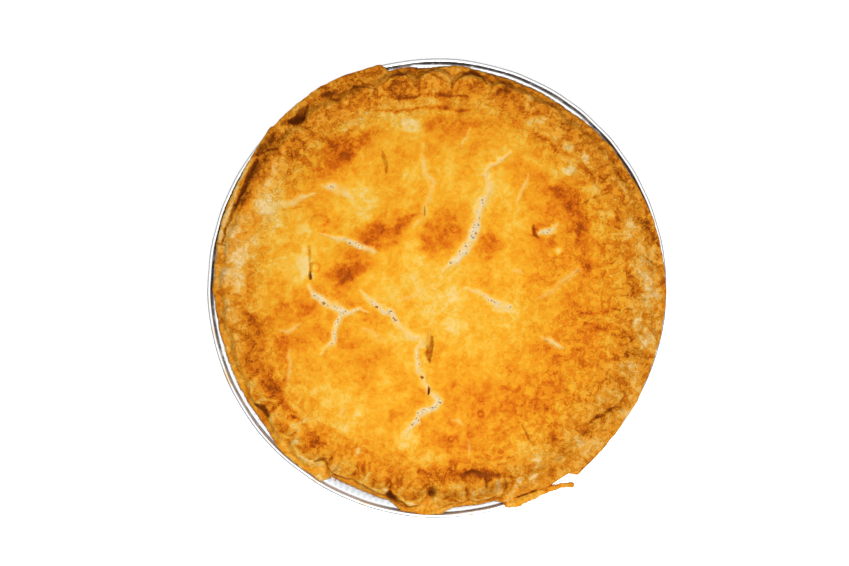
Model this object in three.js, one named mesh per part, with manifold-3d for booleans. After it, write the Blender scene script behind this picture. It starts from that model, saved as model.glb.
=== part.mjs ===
// A whole double-crust fruit pie in its foil tin. The tin has a fluted wall, a fluted flange and a
// rolled bead. The pie has a domed, cracked lid and a finger-crimped edge whose lip lies on the flange
// and, in places, over the bead. Millimetres, +Z up, origin on the axis of the tin in the plane it
// stands on.
import * as THREE from "three";
import { mergeVertices } from "three/addons/utils/BufferGeometryUtils.js";
import Module from "manifold-3d";

// Foil tin
const TIN_RADIUS = 115;
const TIN_HEIGHT = 30;
const TIN_BASE_RADIUS = 88;
const TIN_CORNER = 1.2;
const WALL_TOP_RADIUS = 106.5;
const WALL_TOP_HEIGHT = 26;
const FLANGE_RADIUS = 111.6;
const FLANGE_HEIGHT = 27.2;
const BEAD_RADIUS = 1.5;
const BEAD_ANGLES_DEG = [225, 280, 330, 20, 70, 120];
const FOIL_THICKNESS = 0.5;
const FLUTE_COUNT = 220;
const FLUTE_DEPTH = 0.8;
const FLUTE_START = 0.07;
const FLUTE_END = 0.85;
const PLAIN_STEPS = 80;

// Pie
const FIT_GAP = 0.3;
const LIP_THICKNESS = 3;
const LIP_ON_FLANGE_RADIUS = 110.4;
const LIP_ON_BEAD_RADIUS = 112.4;
const STEP_RADIUS = 110.6;
const STEP_RISE = 0.4;
const CRIMP_COUNT = 33;
const CRIMP_STEPS = 5;
const CRIMP_START_DEG = 85.6;
const CRIMP_DRIFT_DEG = -3;
const CRIMP_DRIFT_CENTRE_DEG = 267;
const CRIMP_DRIFT_SPREAD_DEG = 30;
const CRIMP_ROUNDNESS = 0.8;
const CREST_RADIUS = 104.5;
const CREST_REACH = 2.2;
const CREST_HEIGHT = 38.2;
const CREST_DIP = 2.2;
const CREST_MARGIN = 3.4;
const GUTTER_RADIUS = 95;
const GUTTER_HEIGHT = 34.2;
const DOME_RISE = 8.6;
const DOME_POWER = 2.4;
const SWELLING_FADE_POWER = 6;
const LID_RADII = [90.5, 84, 75, 64, 51, 36, 18];
const POINTS_PER_MM = 1.45;

// Outer edge of the crust: angle from +X in degrees, radius
const EDGE_OUTLINE = [
  [0, 114.5], [15, 113.6], [30, 112], [60, 110.6], [90, 111.3], [102, 111.6], [104, 115.2],
  [115, 116.2], [125, 116], [135, 114.4], [141, 114], [146, 112], [172, 112], [180, 111.3],
  [205, 110.4], [219, 110.2], [224, 112.6], [240, 112.6], [242, 108.6], [257, 109], [261, 113],
  [271, 113.2], [274, 110], [285, 110.4], [288, 113], [305.5, 113.8], [307, 116.8], [315, 115.5],
  [320, 115.1], [340, 114.3], [360, 114.5],
];

// Broad swellings of the lid: x, y, spread, height
const SWELLINGS = [
  [-24, 29.5, 15, 1], [-42, 10, 13, 1.1], [-50, 66, 15, 1.2], [66, 41, 14, 1.1], [73, 20, 14, 1],
  [12, 26, 12, 0.7], [72, -22, 16, 0.9], [-66, -18, 14, 0.8], [40, -42, 20, 0.8], [-10, -62, 16, -0.6],
  [45, 0, 14, -0.7], [-8, 4, 16, -0.5],
];

// Open cracks of the lid: half width at the middle, depth, points along the crack
const CRACKS = [
  [1.5, 1.4, [[30.5, 62.5], [25.5, 60], [23.5, 56], [26.5, 51.5], [22, 42], [19.5, 30.5], [13.5, 19], [3, 8.5]]],
  [1, 1, [[-77, 42], [-68, 45], [-60, 47]]],
  [1, 1, [[-57, 51], [-51.5, 49.5], [-45, 46.5]]],
  [1.1, 1.1, [[-58, 27], [-45, 23.5], [-40, 21.5], [-31.5, 18]]],
  [1.4, 1.3, [[-63, 1], [-57, -6], [-47.5, -11], [-45, -13], [-38, -10.5], [-34.5, -11.5]]],
  [1.2, 1.2, [[-46, -12], [-49.5, -17.5], [-51, -25], [-55, -29], [-57.5, -33]]],
  [1.3, 1.2, [[-37.5, -1], [-29.5, -8.5], [-21, -15.5], [-10, -24]]],
  [1.4, 1.3, [[-10, -32], [-9.5, -40], [-4, -50.5], [1, -56], [-4.5, -60.5], [-9.5, -64], [-16, -72]]],
  [1.1, 1.1, [[13, 0], [23, -3.5], [29.5, -8], [36.5, -9]]],
];

// Vent slits cut through the lid before baking: half width, depth, points
const VENTS = [
  [2.2, 2.4, [[-4, -20], [-4.5, -26.5], [-4, -32], [-4, -37]]],
  [0.8, 1.8, [[-27, 69], [-25.5, 62], [-25, 57]]],
  [0.8, 2, [[-63.5, 22], [-63.2, 13], [-62.5, 4]]],
  [1, 1.8, [[47, 32], [48, 27], [49.5, 24]]],
];

const CUT_CLEARANCE = 1.5;
const END_CLEARANCE = 0.3;

// Strip of crust torn loose at the edge: x, y, height, half width
const TORN_STRIP = [
  [33, -107.6, 32, 1.6], [37, -107, 32.2, 2.5], [44, -105, 32.1, 2.3], [50, -103, 32, 2.2],
  [54.5, -100.6, 31.9, 2], [60, -99, 31.8, 1.7], [65.5, -98.5, 31.8, 1.5], [68.2, -98.9, 31.8, 0.9],
];
const STRIP_HALF_THICKNESS = 1.2;
const STRIP_POINTS = 8;

const wasm = await Module();
wasm.setup();

const radians = THREE.MathUtils.degToRad;
const blend = THREE.MathUtils.lerp;
const smooth = THREE.MathUtils.smoothstep;

/** A point at an angle, a radius and a height. */
function polar(angle, radius, height) {
  return [radius * Math.cos(angle), radius * Math.sin(angle), height];
}

/**
 * Joins a row of closed rings into one closed surface. Rings run anticlockwise as seen from the last
 * ring, begin at the same angle and may have different counts. A ring of one point closes an end.
 */
function skin(rings) {
  const triangles = [];
  let first = 0;
  for (let row = 0; row + 1 < rings.length; row++) {
    const lower = rings[row].length;
    const upper = rings[row + 1].length;
    const next = first + lower;
    const lowerSteps = lower > 1 ? lower : 0;
    const upperSteps = upper > 1 ? upper : 0;
    let a = 0;
    let b = 0;
    while (a < lowerSteps || b < upperSteps) {
      const lowerIsNext = (a + 0.5) * upperSteps <= (b + 0.5) * lowerSteps;
      const p = first + (a % lower);
      const q = next + (b % upper);
      if (b >= upperSteps || (a < lowerSteps && lowerIsNext)) {
        a++;
        triangles.push(p, first + (a % lower), q);
      } else {
        b++;
        triangles.push(p, next + (b % upper), q);
      }
    }
    first = next;
  }
  return { points: rings.flat(2), triangles };
}

/** The same closed surface as a solid for joining and cutting. */
function solid({ points, triangles }) {
  const mesh = new wasm.Mesh({
    numProp: 3,
    vertProperties: new Float32Array(points),
    triVerts: new Uint32Array(triangles),
  });
  return new wasm.Manifold(mesh);
}

/** A named mesh with flat facets from points and triangles. */
function named(name, points, triangles, material) {
  const loose = new THREE.BufferGeometry();
  loose.setAttribute("position", new THREE.Float32BufferAttribute(points, 3));
  loose.setIndex(Array.from(triangles));
  const mesh = new THREE.Mesh(mergeVertices(loose, 1e-3), material);
  mesh.name = name;
  return mesh;
}

/** Value of a row of [position, value] pairs at a position, straight between the pairs. */
function along(pairs, position) {
  const after = Math.max(1, pairs.findIndex(([p]) => p >= position));
  const [p0, v0] = pairs[after - 1];
  const [p1, v1] = pairs[after];
  return blend(v0, v1, (position - p0) / (p1 - p0));
}

// Foil tin

const WALL = [[TIN_BASE_RADIUS, TIN_CORNER], [WALL_TOP_RADIUS, WALL_TOP_HEIGHT]];
const FLANGE = [[WALL_TOP_RADIUS, WALL_TOP_HEIGHT], [FLANGE_RADIUS, FLANGE_HEIGHT]];

/** Radius and height at a share of a straight stretch of the tin's outside, moved inward by a distance. */
function onStretch([[r0, z0], [r1, z1]], share, inward) {
  const length = Math.hypot(r1 - r0, z1 - z0);
  const radius = blend(r0, r1, share) - (inward * (z1 - z0)) / length;
  const height = blend(z0, z1, share) + (inward * (r1 - r0)) / length;
  return [radius, height];
}

function tinSurface() {
  const plain = ([radius, height]) =>
    Array.from({ length: PLAIN_STEPS }, (_, i) => polar((2 * Math.PI * i) / PLAIN_STEPS, radius, height));
  const fluted = (stretch, share, inward) =>
    Array.from({ length: 2 * FLUTE_COUNT }, (_, i) => {
      const ripple = i % 2 ? FLUTE_DEPTH / 2 : -FLUTE_DEPTH / 2;
      return polar((Math.PI * i) / FLUTE_COUNT, ...onStretch(stretch, share, inward + ripple));
    });
  const bead = BEAD_ANGLES_DEG.map((degrees) => [
    TIN_RADIUS - BEAD_RADIUS * (1 - Math.cos(radians(degrees))),
    TIN_HEIGHT - BEAD_RADIUS * (1 - Math.sin(radians(degrees))),
  ]);
  const outside = [
    plain([TIN_BASE_RADIUS - TIN_CORNER, 0]),
    plain(onStretch(WALL, 0, 0)),
    fluted(WALL, FLUTE_START, 0),
    fluted(WALL, 1, 0),
    fluted(FLANGE, FLUTE_END, 0),
    plain(onStretch(FLANGE, 1, 0)),
  ];
  const inside = [
    plain(onStretch(FLANGE, 1, FOIL_THICKNESS)),
    fluted(FLANGE, FLUTE_END, FOIL_THICKNESS),
    fluted(WALL, 1, FOIL_THICKNESS),
    fluted(WALL, FLUTE_START, FOIL_THICKNESS),
    plain(onStretch(WALL, 0, FOIL_THICKNESS)),
    plain([TIN_BASE_RADIUS - TIN_CORNER, FOIL_THICKNESS]),
  ];
  return skin([[[0, 0, 0]], ...outside, ...bead.map(plain), ...inside, [[0, 0, FOIL_THICKNESS]]]);
}

// Pie

const LINING = FOIL_THICKNESS + FLUTE_DEPTH / 2 + FIT_GAP;

/** Height of the tin's lining at a radius on its flange. */
function flangeLining(radius) {
  const [r0, z0] = onStretch(FLANGE, 0, LINING);
  const [r1, z1] = onStretch(FLANGE, 1, LINING);
  return blend(z0, z1, (radius - r0) / (r1 - r0));
}

/** Angle at a share of the way round. The crimps are evenly spaced but for a drift in one quarter. */
function angleAt(share) {
  const degrees = CRIMP_START_DEG + 360 * share;
  const away = (degrees - CRIMP_DRIFT_CENTRE_DEG) / CRIMP_DRIFT_SPREAD_DEG;
  const drift = CRIMP_DRIFT_DEG * Math.exp(-(away ** 2));
  return radians(degrees + drift);
}

/** Height of the lid: a dome with broad swellings that dies away at the gutter. */
function lidHeight(x, y) {
  const share = Math.min(1, Math.hypot(x, y) / GUTTER_RADIUS);
  const swell = SWELLINGS.reduce(
    (sum, [sx, sy, spread, height]) => sum + height * Math.exp(-((x - sx) ** 2 + (y - sy) ** 2) / spread ** 2),
    0,
  );
  return GUTTER_HEIGHT + DOME_RISE * (1 - share ** DOME_POWER) + swell * (1 - share ** SWELLING_FADE_POWER);
}

/** Section of the crust's side, lip and crimped crest at a share of the way round, as radius and height. */
function edgeSection(share) {
  const degrees = THREE.MathUtils.euclideanModulo(THREE.MathUtils.radToDeg(angleAt(share)), 360);
  const edge = along(EDGE_OUTLINE, degrees);
  const overBead = smooth(edge, LIP_ON_FLANGE_RADIUS, LIP_ON_BEAD_RADIUS);
  const step = Math.min(edge - 1, STEP_RADIUS);
  const under = blend(flangeLining(edge) + STEP_RISE, TIN_HEIGHT + FIT_GAP, overBead);
  const lip = under + LIP_THICKNESS;
  const arc = Math.abs(Math.sin(Math.PI * CRIMP_COUNT * share)) ** CRIMP_ROUNDNESS;
  const crest = Math.min(CREST_RADIUS + CREST_REACH * (2 * arc - 1), edge - CREST_MARGIN);
  const crestHeight = CREST_HEIGHT - CREST_DIP * (1 - arc);
  return [
    onStretch(WALL, 1, LINING),
    [step, flangeLining(step)],
    [step, under],
    [edge - 0.8, under],
    [edge, under + LIP_THICKNESS * 0.45],
    [edge - 0.7, lip],
    [crest + 1.8, blend(lip, crestHeight, 0.25)],
    [crest + 0.7, blend(lip, crestHeight, 0.85)],
    [crest - 0.7, crestHeight],
    [crest - 2.8, blend(GUTTER_HEIGHT, crestHeight, 0.55)],
    [crest - 5.2, blend(GUTTER_HEIGHT, crestHeight, 0.1)],
    [GUTTER_RADIUS, GUTTER_HEIGHT],
  ];
}

function crustSurface() {
  const steps = CRIMP_COUNT * CRIMP_STEPS;
  const shares = Array.from({ length: steps }, (_, i) => i / steps);
  const sections = shares.map(edgeSection);
  const floor = FOIL_THICKNESS + FIT_GAP;
  const corner = onStretch(WALL, FLUTE_START, LINING);
  const around = (count, radius, height) =>
    Array.from({ length: count }, (_, i) => polar(angleAt(i / count), radius, height));
  const edgeRings = sections[0].map((_, row) =>
    shares.map((share, i) => polar(angleAt(share), sections[i][row][0], sections[i][row][1])),
  );
  const lidRings = LID_RADII.map((radius) =>
    around(Math.min(steps, Math.round(radius * POINTS_PER_MM)), radius, 0).map(([x, y]) => [x, y, lidHeight(x, y)]),
  );
  return skin([
    [[0, 0, floor]],
    around(PLAIN_STEPS, corner[0] - 2, floor),
    around(PLAIN_STEPS, ...corner),
    ...edgeRings,
    ...lidRings,
    [[0, 0, lidHeight(0, 0)]],
  ]);
}

/** Unit vectors to the left of a path at each of its points. */
function leftOf(path) {
  return path.map((_, i) => {
    const [x0, y0] = path[Math.max(0, i - 1)];
    const [x1, y1] = path[Math.min(path.length - 1, i + 1)];
    const length = Math.hypot(x1 - x0, y1 - y0);
    return [(y0 - y1) / length, (x1 - x0) / length];
  });
}

/** A groove of V section that follows the lid along a path and runs out at both ends. */
function groove([halfWidth, depth, path]) {
  const left = leftOf(path);
  const reach = halfWidth * (1 + CUT_CLEARANCE / depth);
  const rings = path.map(([x, y], i) => {
    const height = lidHeight(x, y);
    if (i === 0 || i === path.length - 1) {
      return [[x, y, height + END_CLEARANCE]];
    }
    const [nx, ny] = left[i];
    return [
      [x + reach * nx, y + reach * ny, height + CUT_CLEARANCE],
      [x - reach * nx, y - reach * ny, height + CUT_CLEARANCE],
      [x, y, height - depth],
    ];
  });
  return solid(skin(rings));
}

/** The torn strip: rounded sections along a path on top of the lip, closed at both ends. */
function tornStrip() {
  const left = leftOf(TORN_STRIP);
  const rings = TORN_STRIP.map(([x, y, height, halfWidth], i) =>
    Array.from({ length: STRIP_POINTS }, (_, k) => {
      const turn = (2 * Math.PI * (k + 0.5)) / STRIP_POINTS;
      const side = halfWidth * Math.cos(turn);
      return [x + side * left[i][0], y + side * left[i][1], height + STRIP_HALF_THICKNESS * Math.sin(turn)];
    }),
  );
  const endOf = ([x, y, height]) => [[x, y, height]];
  return solid(skin([endOf(TORN_STRIP[0]), ...rings, endOf(TORN_STRIP[TORN_STRIP.length - 1])]));
}

function pieSolid() {
  let pie = solid(crustSurface()).add(tornStrip());
  for (const cut of [...CRACKS, ...VENTS]) {
    pie = pie.subtract(groove(cut));
  }
  return pie;
}

const group = new THREE.Group();
const foil = new THREE.MeshStandardMaterial({ color: "#c4c7ca", metalness: 1, roughness: 0.3 });
const crust = new THREE.MeshStandardMaterial({ color: "#e5992d", roughness: 0.75 });

const tin = tinSurface();
group.add(named("tin", tin.points, tin.triangles, foil));

const pie = pieSolid().getMesh();
group.add(named("pie", pie.vertProperties, pie.triVerts, crust));

export default group;
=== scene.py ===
from types import SimpleNamespace

import bpy
import numpy as np
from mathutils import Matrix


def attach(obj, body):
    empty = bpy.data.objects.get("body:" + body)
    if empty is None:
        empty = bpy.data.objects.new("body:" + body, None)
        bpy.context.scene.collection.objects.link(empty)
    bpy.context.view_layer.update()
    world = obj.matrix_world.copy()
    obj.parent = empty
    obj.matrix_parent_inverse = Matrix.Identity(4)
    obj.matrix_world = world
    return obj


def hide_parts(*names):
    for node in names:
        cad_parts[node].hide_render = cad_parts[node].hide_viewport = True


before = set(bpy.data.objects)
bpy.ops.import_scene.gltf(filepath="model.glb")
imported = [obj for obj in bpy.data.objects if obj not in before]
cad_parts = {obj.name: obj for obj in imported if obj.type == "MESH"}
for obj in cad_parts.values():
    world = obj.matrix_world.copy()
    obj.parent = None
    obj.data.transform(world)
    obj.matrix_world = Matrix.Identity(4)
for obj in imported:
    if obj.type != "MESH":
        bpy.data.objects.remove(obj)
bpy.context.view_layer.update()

# Foil tin
# A disposable pie tin stamped from one disc of thin aluminium foil. The wall and the flange are pressed
# into fine flutes, which take up the spare foil, and the edge is rolled outwards into a flat-topped bead.
# It stands flat on its base and carries the pie.

MM = 0.001
FOIL_THICKNESS = 0.5
FLUTE_COUNT = 220
FLUTE_DEPTH = 0.8
FLUTE_UNEVENNESS = 0.2
STEPS_PER_FLUTE = 7
RIM_WOBBLE = 0.07
RIM_SAG = 0.049
LOOSE_RADII = (100, 112)
SHARP_ANGLE = np.radians(100)

# Outside of the tin: radius, height, share of the flute depth, steps to the next point
WALL_SECTION = [
    (40, 0, 0, 1), (86, 0, 0, 2), (87.4, 0.3, 0, 2), (88, 1.2, 0, 3), (89.4, 3.1, 1, 4),
    (106, 25.4, 1, 3), (107.2, 26.2, 0.35, 4), (110.3, 26.9, 0.08, 3), (111.4, 27.1, 0, 1),
]

# Rolled bead, from under it round the outside and over its flat top: radius, height
BEAD_SECTION = [
    (112.6, 26.9), (113.8, 27), (114.7, 27.6), (115, 28.5), (114.9, 29.3), (114.6, 29.8), (114.35, 29.97),
    (114.1, 30), (113.45, 30), (113.2, 29.92), (113.05, 29.72), (112.98, 29.36), (112.9, 28.5),
    (112.84, 28.15), (112.7, 27.88), (112.35, 27.72), (111.85, 27.64),
]


def section_rows(points):
    """Rows along a section: straight lines between the points, each cut into its own number of steps."""
    marks = np.cumsum([0] + [point[-1] for point in points[:-1]])
    rows = np.arange(marks[-1] + 1)
    return [np.interp(rows, marks, values) for values in np.array(points, float).T[:-1]]


def smooth_step(value, low, high):
    """A share that rises from 0 at low to 1 at high along a smooth S-shaped curve."""
    share = np.clip((value - low) / (high - low), 0, 1)
    return share * share * (3 - 2 * share)


def wobble(angle, lowest, highest, seed):
    """A closed random curve round the pie: cosines of whole-number frequency with seeded phases."""
    phases = np.random.default_rng(seed).uniform(0, 2 * np.pi, highest - lowest + 1)
    turns = np.arange(lowest, highest + 1)
    return np.cos(np.multiply.outer(angle, turns) + phases).sum(axis=-1) / np.sqrt(len(turns) / 2)


def smooth_mesh(name, points, faces):
    """A smoothly shaded mesh of points in millimetres, with faces as lists of their numbers."""
    mesh = bpy.data.meshes.new(name)
    mesh.from_pydata((points * MM).tolist(), [], faces)
    mesh.shade_smooth()
    mesh.set_sharp_from_angle(angle=SHARP_ANGLE)
    return mesh


def ring_mesh(name, rings, bottom, top):
    """A closed mesh of rings stacked from a bottom point to a top point.

    Each ring runs anticlockwise as seen from above. Neighbouring rings are joined by quads, and the end
    rings by fans of triangles to the two points.
    """
    count, around = rings.shape[:2]
    here = np.arange(count * around).reshape(count, around)
    beside = np.roll(here, -1, axis=1)
    quads = np.stack([here[:-1], beside[:-1], beside[1:], here[1:]], axis=-1).reshape(-1, 4)
    low_fan = np.stack([beside[0], here[0], np.full(around, here.size)], axis=-1)
    high_fan = np.stack([here[-1], beside[-1], np.full(around, here.size + 1)], axis=-1)
    points = np.concatenate([rings.reshape(-1, 3), [bottom, top]])
    return smooth_mesh(name, points, quads.tolist() + low_fan.tolist() + high_fan.tolist())


def piece(name, mesh, material, node):
    """Puts a mesh into the scene as a piece that rides on the part and stands for a node of the frame."""
    made = bpy.data.objects.new(name, mesh)
    bpy.context.scene.collection.objects.link(made)
    mesh.materials.append(material)
    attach(made, "root")
    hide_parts(node)


def tin_rings():
    """The foil's rings from under the base, up outside, over the bead and down inside.

    The inside is the outside moved by the foil's thickness along its normal. A sine wave round the tin
    moves both along the same normal, by each row's share of the flute depth.
    """
    angle = np.linspace(0, 2 * np.pi, FLUTE_COUNT * STEPS_PER_FLUTE, endpoint=False)
    radius, height, flute = (row[:, None] for row in section_rows(WALL_SECTION))
    run = np.gradient(radius, axis=0)
    rise = np.gradient(height, axis=0)
    length = np.hypot(run, rise)
    uneven = 1 + FLUTE_UNEVENNESS * wobble(angle, 20, 60, 1)
    wave = 0.5 * FLUTE_DEPTH * np.sin(FLUTE_COUNT * angle) * uneven

    def moved(offset):
        """Radii and heights of the wall, moved along its normal by an offset and the flutes."""
        shift = offset + flute * wave
        return radius - shift * rise / length, height + shift * run / length

    even = np.ones_like(angle)
    bead_radius, bead_height = np.array(BEAD_SECTION).T
    outside = moved(0)
    inside = moved(FOIL_THICKNESS)
    radii = np.concatenate([outside[0], np.outer(bead_radius, even), inside[0][::-1]])
    heights = np.concatenate([outside[1], np.outer(bead_height, even), inside[1][::-1]])
    loose = smooth_step(radii, *LOOSE_RADII)
    radii = radii + RIM_WOBBLE * loose * wobble(angle, 5, 40, 2)
    heights = heights + RIM_SAG * loose * wobble(angle, 4, 30, 3)
    return np.stack([radii * np.cos(angle), radii * np.sin(angle), heights], axis=-1)


def paint(red, green, blue):
    """A colour given in sRGB from 0 to 255, as the linear values that a shader takes."""
    share = np.array([red, green, blue]) / 255
    linear = np.where(share <= 0.04045, share / 12.92, ((share + 0.055) / 1.055) ** 2.4)
    return (*linear.tolist(), 1.0)


class Shade:
    """One output of a shader node. Operators on values add Math nodes, and node() adds any other node."""

    def __init__(self, tree, socket=None):
        self.tree = tree
        self.socket = socket

    def node(self, kind, settings, sockets, output=0):
        """Adds a node of this kind, sets its settings, then fills its sockets with values or links."""
        made = self.tree.nodes.new(kind)
        for name, value in settings.items():
            if name == "stops":
                self.set_stops(made.color_ramp, value)
            else:
                setattr(made, name, value)
        for name, value in sockets.items():
            if isinstance(value, Shade):
                self.tree.links.new(value.socket, made.inputs[name])
            else:
                made.inputs[name].default_value = value
        return Shade(self.tree, made.outputs[output] if made.outputs else None)

    @staticmethod
    def set_stops(ramp, stops):
        """Gives a colour ramp its stops, each a place from 0 to 1 and a colour."""
        while len(ramp.elements) < len(stops):
            ramp.elements.new(1)
        for element, (place, colour) in zip(ramp.elements, stops):
            element.position = place
            element.color = colour

    def math(self, operation, first, second):
        """The value that a Math node makes of two values by an operation."""
        return self.node("ShaderNodeMath", {"operation": operation}, {0: first, 1: second})

    def __add__(self, other):
        return self.math("ADD", self, other)

    __radd__ = __add__

    def __sub__(self, other):
        return self.math("SUBTRACT", self, other)

    def __rsub__(self, other):
        return self.math("SUBTRACT", other, self)

    def __mul__(self, other):
        return self.math("MULTIPLY", self, other)

    __rmul__ = __mul__

    def rising(self, low, high):
        """A share that rises smoothly from 0 to 1 as this value goes from low to high."""
        sockets = {"Value": self, "From Min": low, "From Max": high}
        return self.node("ShaderNodeMapRange", {"interpolation_type": "SMOOTHSTEP"}, sockets)

    def band(self, low, full, fading, high):
        """A share that rises from 0 at low to 1 at full, then falls from 1 at fading to 0 at high."""
        return self.rising(low, full) * (1 - self.rising(fading, high))

    def mix(self, low, high):
        """The colour that goes from low to high as this share goes from 0 to 1."""
        return self.node("ShaderNodeMix", {"data_type": "RGBA"}, {0: self, 6: low, 7: high}, 2)

    def ramp(self, stops):
        """The colour that a row of stops has at this share."""
        return self.node("ShaderNodeValToRGB", {"stops": stops}, {0: self})

    def cloud(self, place, size, detail=2.0, rough=0.5, swirl=0.0):
        """Cloudy noise from 0 to 1 at a place, with clouds of a size in millimetres, drawn out by a swirl."""
        sockets = {"Vector": place, "Scale": 1 / (size * MM), "Detail": detail, "Roughness": rough}
        return self.node("ShaderNodeTexNoise", {}, {**sockets, "Distortion": swirl})


def new_material(name):
    """An empty node material and a Shade on its tree to add nodes with."""
    material = bpy.data.materials.new(name)
    material.use_nodes = True
    material.node_tree.nodes.clear()
    return material, Shade(material.node_tree)


def foil_material():
    """Bright rolled aluminium with fine crinkles, painted shade in the flutes and faint stains on the bead.

    A broken line of painted shade lies in the groove inside the bead, bold at the far side and thin at the
    lower left, and fainter painted shade lies under the bead's curl. Places and radii are in metres, as
    Object coordinates are.
    """
    material, shade = new_material("bright_foil")
    place = shade.node("ShaderNodeTexCoord", {}, {}, "Object")
    flat = shade.node("ShaderNodeVectorMath", {"operation": "MULTIPLY"}, {0: place, 1: (1, 1, 0)})
    radius = shade.node("ShaderNodeVectorMath", {"operation": "LENGTH"}, {0: flat}, "Value")
    across, along, height = (shade.node("ShaderNodeSeparateXYZ", {}, {0: place}, axis) for axis in "XYZ")
    far_side = (0.1 * across + 0.95 * along).rising(-0.08, 0)
    slant = 0.5 * across + 0.86 * along
    near_side = 1 - slant.rising(-0.09, -0.05)
    thin_side = 0.4 + 0.6 * slant.rising(-0.1095, -0.1055)
    cloud = shade.cloud(place, 9, 3)
    crinkle = shade.cloud(place, 1.6, 3, 0.6)
    turn = shade.math("ARCTAN2", along, across)
    rib = shade.math("SINE", FLUTE_COUNT * turn, 0).rising(-0.7, 0.9)
    on_flange = radius.band(0.1065, 0.1085, 0.1112, 0.1116)
    on_wall = height.rising(0.0015, 0.005) * (1 - radius.rising(0.105, 0.1075))
    groove = radius.band(0.1117, 0.112, 0.113, 0.1133) * height.rising(0.0274, 0.0278)
    middle = radius.band(0.1121, 0.1123, 0.1127, 0.1129)
    under_curl = radius.rising(0.1145, 0.1148) * crinkle.rising(0.4, 0.55)
    broken = thin_side * cloud.rising(0.24, 0.46) * (0.7 + 0.3 * crinkle.rising(0.36, 0.5))
    # Painted shade: a dark line in the groove inside the bead, boldest at the far side, and fainter dashes
    # under the curl.
    groove_shade = groove * (0.8 * middle + (0.94 - 0.8 * middle) * far_side) * broken + 0.4 * under_curl
    stain = cloud.rising(0.5, 0.7) * radius.rising(0.1128, 0.1136) * near_side
    clean = crinkle.mix(paint(232, 234, 236), paint(246, 247, 248))
    # Painted shade in the flute valleys: faint lines on the flange, darker on the wall.
    fluted = (rib * on_flange).mix(clean, paint(212, 216, 221))
    ribbed = (0.7 * rib * on_wall).mix(fluted, paint(164, 168, 174))
    stained = (0.8 * stain).mix(ribbed, paint(224, 190, 130))
    shader = shade.node("ShaderNodeBsdfPrincipled", {}, {
        "Base Color": groove_shade.mix(stained, paint(38, 35, 32)),
        "Metallic": 1 - 0.85 * groove,
        "Roughness": 0.1 + 0.16 * cloud + 0.3 * groove_shade,
        "Normal": shade.node("ShaderNodeBump", {}, {"Height": crinkle, "Strength": 0.25, "Distance": 0.0002}),
    })
    shade.node("ShaderNodeOutputMaterial", {}, {"Surface": shader})
    return material


tin_mesh = ring_mesh("foil_tin", tin_rings(), (0, 0, 0), (0, 0, FOIL_THICKNESS))
piece("foil_tin", tin_mesh, foil_material(), "tin")

# Crust lid
# The top sheet of shortcrust, rolled out, laid over the filling and baked. It has risen into a low dome,
# browned where it blistered, and cracked where the filling pushed up, so that pale crumb shows. Short
# vents were cut through it before baking.

LID_RADIUS = 93
LID_STEPS = 300
LID_CORE_HEIGHT = 25
GUTTER_RADIUS = 95
GUTTER_HEIGHT = 34.2
DOME_RISE = 8.6
DOME_POWER = 2.4
SWELLING_FADE_POWER = 6

# Broad swellings: x, y, spread, height
SWELLINGS = [
    (-24, 29.5, 15, 1), (-42, 10, 13, 1.1), (-50, 66, 15, 1.2), (66, 41, 14, 1.1), (73, 20, 14, 1),
    (12, 26, 12, 0.7), (72, -22, 16, 0.9), (-66, -18, 14, 0.8), (40, -42, 20, 0.8), (-10, -62, 16, -0.6),
    (45, 0, 14, -0.7), (-8, 4, 16, -0.5),
]

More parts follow.
